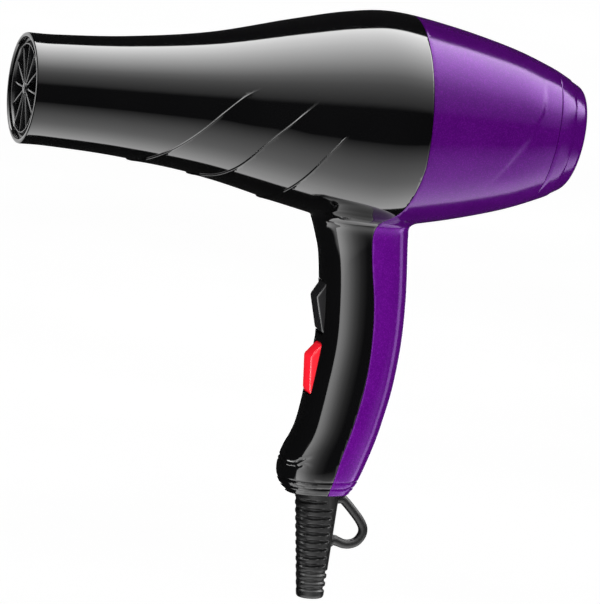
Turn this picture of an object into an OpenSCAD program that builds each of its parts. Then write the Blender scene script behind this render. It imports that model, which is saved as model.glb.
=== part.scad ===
// Hand-held hair dryer with a curved pistol handle.
// X runs along the barrel from the air outlet to the tail, Z is up and the handle points down.
// The origin is the centre of the outlet rim.

/* [Body] */
// Outer diameter of the outlet end
outlet_d = 47.2; // [46.6:0.1:48]
// Length of the cylindrical outlet end that a nozzle slides over
nose_l = 14; // [10:1:16]
// Largest outer diameter of the body
belly_d = 91.4; // [90:0.2:94]
// Axis length from the outlet rim to the middle of the tail face
body_l = 243; // [242:0.5:246]
// Wall thickness of the moulded shells
wall = 2.2; // [1.8:0.1:2.4]
// Place of the seam between the front and rear shells on the body
seam_x = 168; // [166:0.5:169]
// Lean of the tail face and of the cap seam
tail_tilt = 7; // [4:0.5:8]
// Place of the seam between the rear shell and its cap, on the axis
cap_seam_x = 228.5; // [227:0.5:230]

/* [Outlet grille] */
// Diameter of the thin ring that holds the spokes
grille_ring_d = 37.6; // [34:0.2:38]
// Number of spokes
spoke_count = 12; // [8:1:16]
// Thickness of one spoke
spoke_t = 0.7; // [0.5:0.1:1.2]
// Depth of a spoke along the barrel
spoke_depth = 6; // [3:0.5:7]

/* [Handle] */
// Scale of the handle's width
handle_width_scale = 1; // [0.98:0.01:1.05]
// Diameter of the rubber sleeve at its top
boot_top_d = 19; // [17:0.5:19]
// Diameter of the rubber sleeve at its end
boot_end_d = 11.6; // [11:0.2:13]
// Length of the rubber sleeve below the handle
boot_l = 45.5; // [42:0.5:48]
// Diameter of the hole for the cord
cord_hole_d = 7.2; // [6.6:0.1:7.6]
// Thickness of the hanging loop
loop_d = 4; // [3.6:0.1:4.2]

/* [Switches] */
// Width of a rocker
rocker_w = 10.6; // [9.6:0.2:10.8]
// Diameter of a rocker's pivot pins
rocker_pin_d = 3; // [2.4:0.1:3]
// Radial clearance of the pivot pins
pin_gap = 0.05; // [0.03:0.01:0.1]

/* [Motor and fan] */
// Outer diameter of the motor can
motor_d = 28; // [26:0.5:28]
// Diameter of the motor shaft
shaft_d = 2.3; // [2:0.1:2.3]
// Outer diameter of the fan
fan_d = 66.4; // [64:0.2:67]
// Number of fan blades
blade_count = 9; // [7:1:11]

/* [Hidden] */
$fn = 64;

outlet_r = outlet_d / 2;
belly_r = belly_d / 2;
boot_top_r = boot_top_d / 2;
boot_end_r = boot_end_d / 2;
cord_hole_r = cord_hole_d / 2;
far = 300;
eps = 0.05;

// Outer profile of the body behind the cylindrical nose: [place on the axis, radius]
body_profile = [[nose_l, outlet_r], [44, 25.5], [80, 30.3], [115, 38.7], [140, 44.1],
                [160, belly_r], [185, 41.8], [212, 35.1], [230, 28.6], [239, 24.2], [249, 18.6]];
mouth_r = outlet_r - 1.95;
mouth_depth = 10;

// The tail cap's spigot, and the gap round it
cap_spigot_r = 25.6;

// Cross-sections of the handle: [height, middle along X, half depth, half width]
handle_sections = [[-36, 153.4, 22.2, 17.6], [-44, 154.9, 20.9, 16.6], [-51, 156.4, 19.9, 16],
                   [-61, 158.4, 19.1, 15.6], [-77, 160.1, 18.7, 15.5], [-95, 160.7, 18.4, 15.4],
                   [-114, 159.2, 18.5, 15.3], [-130, 156.8, 18.1, 15], [-137, 155.1, 18.3, 14.9],
                   [-143, 152.9, 18.9, 14.8], [-149, 151.2, 18.8, 14.5], [-154, 150.4, 17.9, 14],
                   [-158.5, 150.4, 16.1, 12.8], [-162, 151, 13.2, 11]];
section_power = 2.4;
handle_end_z = -162;
base_floor_t = 2.6;
// The lower sections tip, rear edge up, to reach this lean at the end of the handle
base_lean = 3;
base_lean_from_z = -120;

// Seam between the two shells, seen from the side: [place along X, height]
seam_curve = [[seam_x, -14], [166.6, -25], [164.6, -34], [161.8, -39], [158, -43], [156.6, -48.5],
              [158, -60], [161.2, -78], [162.4, -95], [161.8, -112], [159, -130], [155, -147],
              [152.4, -163]];

// Rubber sleeve
boot_x = 151;
rib_pitch = 3.45;
rib_count = 12;
groove_depth = 1.3;
groove_w = 1.5;
boot_neck_r = 6.8;
boot_flange_r = 9;
boot_flange_t = 3;

// Hanging loop: radius of its rod, and the points its middle line passes through
loop_r = loop_d / 2;
loop_route = [[156, 0, -164.3], [160.4, 0, -164.1], [163.8, 0, -164.9], [167.6, 0, -168.4],
              [171.4, 0, -172.2], [173.4, 0, -175.4], [173.3, 0, -178.6], [171.6, 0, -181.4],
              [168.8, 0, -183.1], [165.4, 0, -183.6], [161, 0, -182.4], [156.5, 0, -180.8]];

// Rockers: pivot place, lean of the handle's face there, and switch body sizes
upper_pivot = [149.1, -81.8];
upper_lean = -4.3;
lower_pivot = [148.8, -109.3];
lower_lean = 6.1;
rocker_reach = 12.3;
rocker_face = 7.5;
switch_front = -2.6;
switch_back = 10.5;
switch_half_l = 13.2;
switch_half_w = 7.2;
slot_half_l = 12.5;
slot_half_w = rocker_w / 2 + 0.4;
rocker_pin_r = rocker_pin_d / 2;

// Heater
heat_tube_r = 21;
heat_tube_x = [9.6, 104];
board_x = [12, 102];
board_half_w = 19.8;
board_t = 1;
coil_r = 16;
coil_wire_r = 1.1;
coil_pitch = 8;
coil_count = 8;
coil_x = 20;

// Motor, duct and fan
motor_r = motor_d / 2;
shaft_r = shaft_d / 2;
fan_r = fan_d / 2;
duct_x = [148, 197];
duct_r = 35.2;
duct_t = 1.2;
vane_count = 7;
holder_x = [150, 180];
holder_r = 17.5;
sleeve_x = [152, 170];
sleeve_r = 16;
can_x = [146, 178];
fan_x = [182.5, 194.5];
press = 0.02;

// Case screws
case_screw_z = [-62, -134.5];
case_screw_head_x = [171.5, 169];
screw_head_r = 3;
screw_r = 1.5;
screw_boss_r = 3.8;

// Cord clamp
clamp_z = [-150, -144];
clamp_screw_y = 8.2;
clamp_x = [152.05, 156.5];
clamp_post_r = 2.4;
clamp_screw_r = 1.1;

// Rectifier board
pcb_x = [169, 170.4];
pcb_z = [-122.5, -75];

/* Curves */

function catmull(a, b, c, d, t) =
    0.5 * (2 * b + (c - a) * t + (2 * a - 5 * b + 4 * c - d) * t * t + (3 * b - a - 3 * c + d) * t * t * t);

// A smooth curve through the given points, with n steps between neighbours
function smooth(p, n) = let (last = len(p) - 1) concat(
    [for (i = [0:last - 1]) for (j = [0:n - 1])
        catmull(p[max(i - 1, 0)], p[i], p[i + 1], p[min(i + 2, last)], j / n)],
    [p[last]]);

function swell(c, n) = pow(abs(c), 2 / n) * sign(c);

function section_slope(z) =
    tan(base_lean) * min(1, max(0, (base_lean_from_z - z) / (base_lean_from_z - handle_end_z)));

// One ring of the handle at a section, made smaller all round by inset
function handle_ring(s, inset, count) = [for (k = [0:count - 1])
    let (a = 360 * k / count, forth = (s[2] - inset) * swell(cos(a), section_power))
    [s[1] + forth,
     (s[3] * handle_width_scale - inset) * swell(sin(a), section_power),
     s[0] + forth * section_slope(s[0])]];

module skin(rings) {
    n = len(rings[0]);
    last = len(rings) - 1;
    polyhedron(
        points = [for (r = rings) for (p = r) p],
        faces = concat(
            [[for (k = [n - 1:-1:0]) k]],
            [for (i = [0:last - 1]) for (k = [0:n - 1]) let (m = (k + 1) % n)
                each [[i * n + k, (i + 1) * n + m, (i + 1) * n + k],
                      [i * n + k, i * n + m, (i + 1) * n + m]]],
            [[for (k = [0:n - 1]) last * n + k]]));
}

/* Helpers */

// Turns a shape about X out of a [radius, place] outline
module lathe(outline) {
    rotate([0, 90, 0]) rotate_extrude() polygon(outline);
}

module rod_x(r, x0, x1) {
    translate([x0, 0, 0]) rotate([0, 90, 0]) cylinder(r = r, h = x1 - x0);
}

module ring_x(outer, inner, x0, x1) {
    difference() {
        rod_x(outer, x0, x1);
        rod_x(inner, x0 - 1, x1 + 1);
    }
}

module rod_y(r, half) {
    rotate([90, 0, 0]) cylinder(r = r, h = 2 * half, center = true);
}

module block(x, y, z) {
    translate([x[0], y[0], z[0]]) cube([x[1] - x[0], y[1] - y[0], z[1] - z[0]]);
}

// Everything behind the leaning plane that crosses the axis at x
module behind_plane(x) {
    translate([x, 0, 0]) rotate([0, tail_tilt, 0]) translate([0, -far / 2, -far / 2]) cube(far);
}

module at_rocker(pivot, lean) {
    translate([pivot[0], 0, pivot[1]]) rotate([0, lean, 0]) children();
}

module boot_frame() {
    translate([boot_x, 0, handle_end_z]) rotate([0, -base_lean, 0]) children();
}

/* Case */

module body_outer() {
    curve = smooth(body_profile, 3);
    lathe(concat([[0, 0], [outlet_r, 0]], [for (p = curve) [p[1], p[0]]], [[0, curve[len(curve) - 1][0]]]));
}

module body_cavity() {
    curve = smooth([for (i = [1:len(body_profile) - 1]) body_profile[i]], 2);
    lathe(concat([[0, -1], [mouth_r, -1], [mouth_r, mouth_depth]],
                 [for (p = curve) [p[1] - wall, p[0]]],
                 [[0, curve[len(curve) - 1][0]]]));
}

module handle_outer() {
    skin([for (s = smooth(handle_sections, 2)) handle_ring(s, 0, 24)]);
}

module handle_cavity() {
    floor_z = handle_end_z + base_floor_t;
    inner = [for (s = smooth(handle_sections, 1)) if (s[0] > floor_z + 1) s];
    low = inner[len(inner) - 1];
    bottom = [floor_z, low[1] + 0.4, low[2] - 1.8, low[3] - 1.2];
    skin([for (s = concat(inner, [bottom])) handle_ring(s, wall, 16)]);
}

module front_region() {
    curve = smooth(seam_curve, 2);
    rotate([90, 0, 0]) linear_extrude(height = far, center = true)
        polygon(concat([[-10, far / 4], [seam_x, far / 4]], curve, [[-10, curve[len(curve) - 1][1] - 5]]));
}

// Ribs and bosses that stand inside the case
module front_bosses() {
    ring_x(44, heat_tube_r + eps, 96, 98.5);
    ring_x(46, duct_r + eps, 152, 154.5);
    for (p = [[upper_pivot, upper_lean], [lower_pivot, lower_lean]])
        at_rocker(p[0], p[1])
            block([-12, switch_front - eps], [-switch_half_w, switch_half_w],
                  [-switch_half_l, switch_half_l]);
    for (z = case_screw_z)
        translate([0, 0, z]) rod_x(screw_boss_r, 130, 165);
    for (side = [-1, 1])
        translate([0, side * clamp_screw_y, (clamp_z[0] + clamp_z[1]) / 2])
            rod_x(clamp_post_r, 128, clamp_x[0] - eps);
}

module rear_bosses() {
    ring_x(44, duct_r + eps, 186, 188.5);
    for (z = case_screw_z)
        translate([0, 0, z]) rod_x(screw_boss_r, 150, 182);
    for (z = [-82, -118])
        block([pcb_x[1] + eps, 182], [-2.5, 2.5], [z, z + 3]);
    ring_x(40, cap_spigot_r + 0.1, 220, 234);
}

module rocker_slot(pivot, lean) {
    at_rocker(pivot, lean)
        block([-20, 0], [-slot_half_w, slot_half_w], [-slot_half_l, slot_half_l]);
}

module case_screw_holes() {
    for (i = [0, 1])
        translate([0, 0, case_screw_z[i]]) {
            rod_x(screw_r + eps, 147, 190);
            rod_x(screw_head_r + 0.3, case_screw_head_x[i] - eps, 190);
        }
}

module clamp_screw_holes() {
    for (side = [-1, 1])
        translate([0, side * clamp_screw_y, (clamp_z[0] + clamp_z[1]) / 2])
            rod_x(clamp_screw_r + eps, 140, 158);
}

module boot_neck_hole() {
    boot_frame() translate([0, 0, -1]) cylinder(r = boot_neck_r + eps, h = base_floor_t + 2);
}

module front_shell() {
    color([0.03, 0.03, 0.035])
    intersection() {
        difference() {
            union() {
                body_outer();
                handle_outer();
            }
            difference() {
                union() {
                    body_cavity();
                    handle_cavity();
                }
                front_bosses();
            }
            rocker_slot(upper_pivot, upper_lean);
            rocker_slot(lower_pivot, lower_lean);
            case_screw_holes();
            clamp_screw_holes();
            boot_neck_hole();
        }
        front_region();
    }
}

module rear_shell() {
    color([0.29, 0.05, 0.5])
    difference() {
        union() {
            body_outer();
            handle_outer();
        }
        difference() {
            union() {
                body_cavity();
                handle_cavity();
            }
            rear_bosses();
        }
        case_screw_holes();
        boot_neck_hole();
        front_region();
        behind_plane(cap_seam_x);
    }
}

/* Tail */

module tail_frame(x) {
    translate([x, 0, 0]) rotate([0, tail_tilt, 0]) rotate([0, 90, 0]) children();
}

module rear_cap() {
    rim_t = 2;
    face_r = 20.5;
    color([0.29, 0.05, 0.5]) {
        difference() {
            union() {
                intersection() {
                    difference() {
                        body_outer();
                        body_cavity();
                    }
                    behind_plane(cap_seam_x);
                }
                ring_x(26.2, cap_spigot_r - 1.6, cap_seam_x + 3.6, cap_seam_x + 6);
                ring_x(cap_spigot_r, cap_spigot_r - 1.6, cap_seam_x - 7, cap_seam_x + 6);
            }
            behind_plane(body_l);
        }
        tail_frame(body_l - rim_t) {
            for (r = [4.5, 9.5, 14.5])
                difference() {
                    cylinder(r = r + 0.7, h = rim_t);
                    translate([0, 0, -1]) cylinder(r = r - 0.7, h = rim_t + 2);
                }
            for (a = [0:45:135])
                rotate(a) translate([-face_r, -0.7, 0]) cube([2 * face_r, 1.4, rim_t]);
        }
    }
}

module inlet_mesh() {
    mesh_r = 20.4;
    wire = 0.5;
    pitch = 3;
    color([0.1, 0.1, 0.11])
    tail_frame(body_l - 4.4) {
        difference() {
            cylinder(r = mesh_r, h = 1.4);
            translate([0, 0, -1]) cylinder(r = mesh_r - 1.2, h = 4);
        }
        intersection() {
            cylinder(r = mesh_r - 0.5, h = 1);
            for (i = [-6:6]) {
                translate([i * pitch - wire / 2, -mesh_r, 0]) cube([wire, 2 * mesh_r, wire]);
                translate([-mesh_r, i * pitch - wire / 2, 0]) cube([2 * mesh_r, wire, wire]);
            }
        }
    }
}

/* Outlet and heater */

module outlet_grille() {
    ring_r = grille_ring_d / 2;
    outer = mouth_r - eps;
    hub_r = 2.6;
    color([0.06, 0.06, 0.065]) {
        lathe([[outer, 2.2], [outer, 8.6], [ring_r - 0.5, 8.6], [ring_r - 0.5, 0.7], [ring_r + 0.1, 0.7],
               [ring_r + 0.3, 1.8], [ring_r + 1, 2.7], [ring_r + 1.9, 2.8]]);
        rod_x(hub_r, 0.9, 1.2 + spoke_depth);
        for (k = [0:spoke_count - 1])
            rotate([360 * k / spoke_count, 0, 0])
                block([1.2, 1.2 + spoke_depth], [-spoke_t / 2, spoke_t / 2], [0, ring_r - 0.2]);
    }
}

module heat_tube() {
    color([0.75, 0.72, 0.62])
        ring_x(heat_tube_r, heat_tube_r - 0.6, heat_tube_x[0], heat_tube_x[1]);
}

// Notches in the board edges that the coil rests in
module coil_notches() {
    for (k = [0:coil_count - 1]) {
        x = coil_x + k * coil_pitch;
        ring_x(coil_r + 6, coil_r - coil_wire_r - 0.2, x - coil_wire_r - 0.2, x + coil_wire_r + 0.2);
    }
}

module mica_board_upright() {
    middle = (board_x[0] + board_x[1]) / 2;
    color([0.78, 0.74, 0.6])
    difference() {
        block(board_x, [-board_t / 2, board_t / 2], [-board_half_w, board_half_w]);
        block([board_x[0] - 1, middle], [-2, 2], [-board_t / 2 - eps, board_t / 2 + eps]);
        coil_notches();
    }
}

module mica_board_flat() {
    middle = (board_x[0] + board_x[1]) / 2;
    color([0.78, 0.74, 0.6])
    difference() {
        block(board_x, [-board_half_w, board_half_w], [-board_t / 2, board_t / 2]);
        block([middle, board_x[1] + 1], [-board_t / 2 - eps, board_t / 2 + eps], [-2, 2]);
        coil_notches();
    }
}

module heating_coil() {
    link_angle = 45;
    color([0.55, 0.5, 0.45])
    for (k = [0:coil_count - 1]) {
        x = coil_x + k * coil_pitch;
        translate([x, 0, 0]) rotate([0, 90, 0])
            rotate_extrude() translate([coil_r, 0]) circle(r = coil_wire_r);
        if (k < coil_count - 1)
            rotate([link_angle + 90 * (k % 4), 0, 0]) translate([0, 0, coil_r])
                rod_x(0.6, x, x + coil_pitch);
    }
}

module thermostat() {
    color([0.8, 0.8, 0.78]) {
        block([86, 98], [-9, -3], [board_t / 2 + eps, board_t / 2 + 1.8]);
        translate([92, -6, board_t / 2 + 1]) cylinder(r = 2, h = 2.4);
    }
}

module thermal_fuse() {
    color([0.85, 0.75, 0.35])
    translate([0, 6, board_t / 2 + 2.1]) {
        rod_x(2, 86, 97);
        rod_x(0.5, 83, 100);
    }
}

/* Duct, motor and fan */

module fan_duct() {
    color([0.16, 0.16, 0.17])
    difference() {
        union() {
            ring_x(duct_r, duct_r - duct_t, duct_x[0], duct_x[1]);
            ring_x(holder_r, sleeve_r + eps, holder_x[0], holder_x[1]);
            ring_x(holder_r, 4.5, can_x[1] + 0.1, holder_x[1]);
            for (k = [0:vane_count - 1])
                rotate([360 * k / vane_count, 0, 0])
                    translate([161, 0, 0]) rotate([0, 0, 12])
                        block([-9, 9], [-0.7, 0.7], [holder_r - 0.4, duct_r - duct_t + 0.4]);
        }
        for (side = [-1, 1])
            translate([0, side * 8, 0]) rod_x(1.3, 170, 190);
    }
}

module motor_sleeve() {
    color([0.12, 0.12, 0.12])
        ring_x(sleeve_r, motor_r + press, sleeve_x[0], sleeve_x[1]);
}

module motor_can() {
    end_t = 1.2;
    color([0.7, 0.7, 0.72])
    difference() {
        rod_x(motor_r, can_x[0], can_x[1]);
        rod_x(motor_r - 1.2, can_x[0] - 1, can_x[1] - end_t);
        rod_x(3 + press, can_x[0], can_x[1] + 1);
        for (side = [-1, 1])
            translate([0, side * 8, 0]) rod_x(1.05, can_x[0], can_x[1] + 1);
    }
}

module motor_end_cap() {
    color([0.9, 0.9, 0.86])
    difference() {
        union() {
            rod_x(motor_r, can_x[0] - 4, can_x[0] - eps);
            rod_x(motor_r - 1.25, can_x[0] - 1, can_x[0] + 3);
            for (side = [-1, 1])
                block([can_x[0] - 8, can_x[0] - 3], [side * 8 - 2, side * 8 + 2], [-0.4, 0.4]);
        }
        rod_x(motor_r - 2.6, can_x[0] - 2, can_x[0] + 5);
        rod_x(3 + press, can_x[0] - 8, can_x[0]);
    }
}

module motor_magnets() {
    color([0.2, 0.2, 0.2])
    for (start = [20, 200])
        translate([150, 0, 0]) rotate([0, 90, 0]) rotate([0, 0, start])
            rotate_extrude(angle = 140) translate([10.3, 0]) square([2.45, 22]);
}

module motor_brushes() {
    color([0.25, 0.25, 0.26])
    for (side = [-1, 1])
        block([can_x[0] + 0.6, can_x[0] + 3], [-1.5, 1.5],
              [side > 0 ? 4.15 : -8, side > 0 ? 8 : -4.15]);
}

module bearing(x0, x1) {
    ring_x(3, shaft_r + 0.04, x0, x1);
}

module front_bearing() {
    color([0.75, 0.6, 0.3]) bearing(can_x[0] - 4.5, can_x[0] - 1.6);
}

module rear_bearing() {
    color([0.75, 0.6, 0.3]) bearing(can_x[1] - 3, can_x[1] + 1.5);
}

module motor_shaft() {
    color([0.8, 0.8, 0.82]) rod_x(shaft_r, can_x[0] - 6, fan_x[1] - 1);
}

module armature() {
    pole_count = 5;
    color([0.45, 0.45, 0.47])
    difference() {
        rod_x(9.8, 153, 169);
        rod_x(shaft_r + press, 150, 172);
        for (k = [0:pole_count - 1])
            rotate([360 * k / pole_count, 0, 0]) {
                block([150, 172], [-1, 1], [5.4, 12]);
                block([150, 172], [-2.6, 2.6], [5.4, 8]);
            }
    }
}

module armature_windings() {
    color([0.72, 0.4, 0.2])
    for (x = [150.2, 169.05])
        lathe([[2.6, x], [8.2, x], [8.9, x + 1.4], [8.2, x + 2.7], [2.6, x + 2.7]]);
}

module commutator() {
    color([0.8, 0.5, 0.3])
        ring_x(4, shaft_r + press, can_x[0] + 0.3, can_x[0] + 4);
}

module fan() {
    hub_r = 12;
    hub_t = 1.6;
    pitch_angle = 52;
    chord = 17;
    color([0.13, 0.13, 0.14])
    difference() {
        union() {
            ring_x(hub_r, hub_r - hub_t, fan_x[0], fan_x[1]);
            rod_x(hub_r, fan_x[1] - 1.6, fan_x[1]);
            rod_x(3.4, fan_x[0] + 1, fan_x[1]);
            intersection() {
                ring_x(fan_r, hub_r - 0.8, fan_x[0], fan_x[1]);
                for (k = [0:blade_count - 1])
                    rotate([360 * k / blade_count, 0, 0])
                        translate([(fan_x[0] + fan_x[1]) / 2, 0, 0]) rotate([0, 0, pitch_angle])
                            block([-chord / 2, chord / 2], [-0.7, 0.7], [hub_r - 1.2, fan_r + 2]);
            }
        }
        rod_x(shaft_r + press, fan_x[0] - 2, fan_x[1] - 1 + eps);
    }
}

module motor_screws() {
    color([0.75, 0.75, 0.78])
    for (side = [-1, 1])
        translate([0, side * 8, 0]) {
            rod_x(1, can_x[1] - 2.5, holder_x[1] + 0.2);
            rod_x(2, holder_x[1] + eps, holder_x[1] + 1.5);
        }
}

/* Switches */

// Side outline of a rocker about its pivot: a short steep face, a ridge and a long face
module rocker_outline() {
    ridge = [-rocker_face - 2.9, 3.8];
    intersection() {
        circle(r = rocker_reach);
        polygon([[-5.2, 11.3], ridge + [0.9, 1.2], ridge + [0.15, 0.5], ridge + [0.15, -0.5],
                 [-5.9, -11.3], [-3.6, -11.6], [2.6, -4.5], [2.6, 4.5], [-3, 11.6]]);
    }
}

module rocker() {
    rotate([90, 0, 0]) linear_extrude(height = rocker_w, center = true) rocker_outline();
    rod_y(rocker_pin_r, switch_half_w - 0.3);
}

module switch_body() {
    cavity_w = rocker_w / 2 + 0.25;
    difference() {
        block([switch_front, switch_back], [-switch_half_w, switch_half_w],
              [-switch_half_l, switch_half_l]);
        block([switch_front - 1, switch_back - 6.5], [-cavity_w, cavity_w],
              [-switch_half_l + 0.8, switch_half_l - 0.8]);
        rod_y(rocker_pin_r + pin_gap, switch_half_w + 1);
    }
}

module upper_switch_body() {
    color([0.1, 0.1, 0.11]) at_rocker(upper_pivot, upper_lean) switch_body();
}

module lower_switch_body() {
    color([0.1, 0.1, 0.11]) at_rocker(lower_pivot, lower_lean) switch_body();
}

module upper_rocker() {
    color([0.04, 0.04, 0.045]) at_rocker(upper_pivot, upper_lean) rocker();
}

module lower_rocker() {
    color([0.85, 0.05, 0.08]) at_rocker(lower_pivot, lower_lean) rocker();
}

module switch_terminals() {
    color([0.85, 0.7, 0.35])
    for (p = [[upper_pivot, upper_lean], [lower_pivot, lower_lean]])
        at_rocker(p[0], p[1])
            for (z = [-8, 0, 8])
                block([switch_back + 0.02, switch_back + 5], [-2.4, 2.4], [z - 0.4, z + 0.4]);
}

module rectifier_board() {
    color([0.1, 0.4, 0.2]) block(pcb_x, [-9, 9], pcb_z);
    color([0.08, 0.08, 0.08])
    for (side = [-1, 1])
        for (z = [-90, -104])
            translate([pcb_x[0] - 1.3, side * 5.5, z]) cylinder(r = 1.35, h = 5.2);
}

module suppressor_capacitor() {
    color([0.8, 0.65, 0.2])
        block([163.9, pcb_x[0] - 0.02], [-5.5, 5.5], [pcb_z[0] + 0.3, pcb_z[0] + 8]);
}

/* Wiring */

// A round rod that runs smoothly through the route's points
module tube(route, r, sides) {
    path = smooth(route, 3);
    last = len(path) - 1;
    skin([for (i = [0:last])
        let (ahead = path[min(i + 1, last)] - path[max(i - 1, 0)],
             along = ahead / norm(ahead),
             across = cross([0, 1, 0], along) / norm(cross([0, 1, 0], along)),
             up = cross(along, across))
        [for (k = [0:sides - 1]) let (turn = 360 * k / sides)
            path[i] + r * (across * sin(turn) + up * cos(turn))]]);
}

module wiring_loom() {
    for (side = [-1, 1]) {
        color([0.75, 0.1, 0.1])
            tube([[164.9, side * 4, -113], [165.4, side * 8, -106], [163, side * 10.2, -92],
                  [162, side * 10.2, -66], [158.5, side * 10.2, -54], [153, side * 10.2, -48.4],
                  [147, side * 10, -44.6], [139, side * 10, -38], [120, side * 9, -31.5],
                  [108, side * 9, -21], [104, side * 9, -10], [103, side * 9, -2]], 1, 8);
        color([0.1, 0.1, 0.6])
            tube([[169.4, side * 7, -74], [165, side * 7, -62], [152.6, side * 7, -47.6],
                  [143.5, side * 7, -37], [138, side * 8, -22], [136.8, side * 8, -2]], 0.9, 8);
    }
}

/* Cord anchorage */

module cord_clamp() {
    middle = (clamp_z[0] + clamp_z[1]) / 2;
    color([0.12, 0.12, 0.12])
    difference() {
        block(clamp_x, [-10.9, 10.9], clamp_z);
        translate([boot_x, 0, clamp_z[0] - 1]) cylinder(r = cord_hole_r, h = 8);
        for (side = [-1, 1])
            translate([0, side * clamp_screw_y, middle]) rod_x(clamp_screw_r + eps, 140, 160);
    }
}

module clamp_screws() {
    color([0.75, 0.75, 0.78])
    for (side = [-1, 1])
        translate([0, side * clamp_screw_y, (clamp_z[0] + clamp_z[1]) / 2]) {
            rod_x(clamp_screw_r, 142, clamp_x[1] + 0.5);
            rod_x(2.1, clamp_x[1] + eps, clamp_x[1] + 1.6);
        }
}

module case_screws() {
    color([0.2, 0.2, 0.21])
    for (i = [0, 1])
        translate([0, 0, case_screw_z[i]])
        difference() {
            union() {
                rod_x(screw_r, 148, case_screw_head_x[i] + 1);
                rod_x(screw_head_r, case_screw_head_x[i], case_screw_head_x[i] + 2.2);
            }
            for (turn = [0, 90])
                rotate([turn, 0, 0])
                    block([case_screw_head_x[i] + 1, case_screw_head_x[i] + 4], [-0.35, 0.35], [-1.7, 1.7]);
        }
}

/* Rubber sleeve and hanging loop */

function boot_radius(depth) = boot_top_r + (boot_end_r - boot_top_r) * depth / boot_l;

module boot_sleeve() {
    neck_z = base_floor_t + eps;
    difference() {
        union() {
            translate([0, 0, -boot_l]) cylinder(r1 = boot_end_r, r2 = boot_top_r, h = boot_l - eps);
            translate([0, 0, -1]) cylinder(r = boot_neck_r, h = neck_z + 1.5);
            translate([0, 0, neck_z]) cylinder(r = boot_flange_r, h = boot_flange_t);
        }
        for (k = [0:rib_count - 1]) {
            depth = 2.4 + k * rib_pitch;
            translate([0, 0, -depth - groove_w])
            difference() {
                cylinder(r = boot_top_r + 2, h = groove_w);
                translate([0, 0, -1])
                    cylinder(r = boot_radius(depth + groove_w) - groove_depth, h = groove_w + 2);
                translate([0, -2, -1]) cube([30, 4, 10]);
            }
        }
        translate([0, 0, -boot_l - 1]) cylinder(r = cord_hole_r, h = boot_l + 12);
    }
}

module hanging_loop() {
    tube(loop_route, loop_r, 12);
}

module strain_relief() {
    color([0.09, 0.09, 0.095])
    difference() {
        union() {
            boot_frame() boot_sleeve();
            hanging_loop();
        }
        boot_frame() translate([0, 0, -boot_l - 1]) cylinder(r = cord_hole_r, h = boot_l + 12);
    }
}

front_shell();
rear_shell();
rear_cap();
inlet_mesh();
outlet_grille();
heat_tube();
mica_board_upright();
mica_board_flat();
heating_coil();
thermostat();
thermal_fuse();
fan_duct();
motor_sleeve();
motor_can();
motor_end_cap();
motor_magnets();
motor_brushes();
front_bearing();
rear_bearing();
motor_shaft();
armature();
armature_windings();
commutator();
fan();
motor_screws();
upper_switch_body();
upper_rocker();
lower_switch_body();
lower_rocker();
switch_terminals();
rectifier_board();
suppressor_capacitor();
wiring_loom();
cord_clamp();
clamp_screws();
case_screws();
strain_relief();
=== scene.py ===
"""A hand-held hair dryer: black front case, purple rear case, two rockers, rubber cord sleeve."""
import math

import bmesh
import bpy
import numpy as np
from mathutils import Matrix, Vector


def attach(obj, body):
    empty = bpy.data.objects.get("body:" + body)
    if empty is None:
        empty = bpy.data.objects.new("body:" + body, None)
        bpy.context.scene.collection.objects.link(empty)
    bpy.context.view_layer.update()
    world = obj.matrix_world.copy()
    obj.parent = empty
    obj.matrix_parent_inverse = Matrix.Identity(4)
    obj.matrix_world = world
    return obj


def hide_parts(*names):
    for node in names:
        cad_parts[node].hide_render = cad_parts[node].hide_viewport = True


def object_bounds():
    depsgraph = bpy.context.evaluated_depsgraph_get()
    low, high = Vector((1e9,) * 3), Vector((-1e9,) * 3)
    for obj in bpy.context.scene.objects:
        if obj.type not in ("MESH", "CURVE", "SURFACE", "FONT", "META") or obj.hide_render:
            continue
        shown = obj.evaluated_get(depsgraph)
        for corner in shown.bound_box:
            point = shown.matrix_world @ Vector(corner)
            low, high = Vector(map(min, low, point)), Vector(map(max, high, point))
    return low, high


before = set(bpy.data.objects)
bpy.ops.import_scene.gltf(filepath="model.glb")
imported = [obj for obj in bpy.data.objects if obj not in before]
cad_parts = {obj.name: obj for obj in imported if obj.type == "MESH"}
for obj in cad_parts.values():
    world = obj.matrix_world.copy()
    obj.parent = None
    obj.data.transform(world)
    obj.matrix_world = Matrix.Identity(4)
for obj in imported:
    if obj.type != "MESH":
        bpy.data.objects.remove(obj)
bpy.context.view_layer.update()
MM = 0.001

# ------ sizes, in millimetres

# Body: [place on the axis, radius]
BODY_PROFILE = [[-14, 23.5], [0, 23.5], [14, 23.6], [44, 25.5], [80, 30.3], [115, 38.7], [140, 44.1],
                [160, 45.7], [185, 41.8], [212, 35.1], [230, 28.6], [239, 24.2], [249, 18.6], [258, 13]]
SEAM_X = 168
TAIL_TILT = math.tan(math.radians(7))
CAP_SEAM_X = 228.5
CAP_STEP_X = 236.8
CAP_STEP, CAP_ROUND = 0.4, 2.2
FACE_R = 18.2
TAIL_X = 243.0

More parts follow.
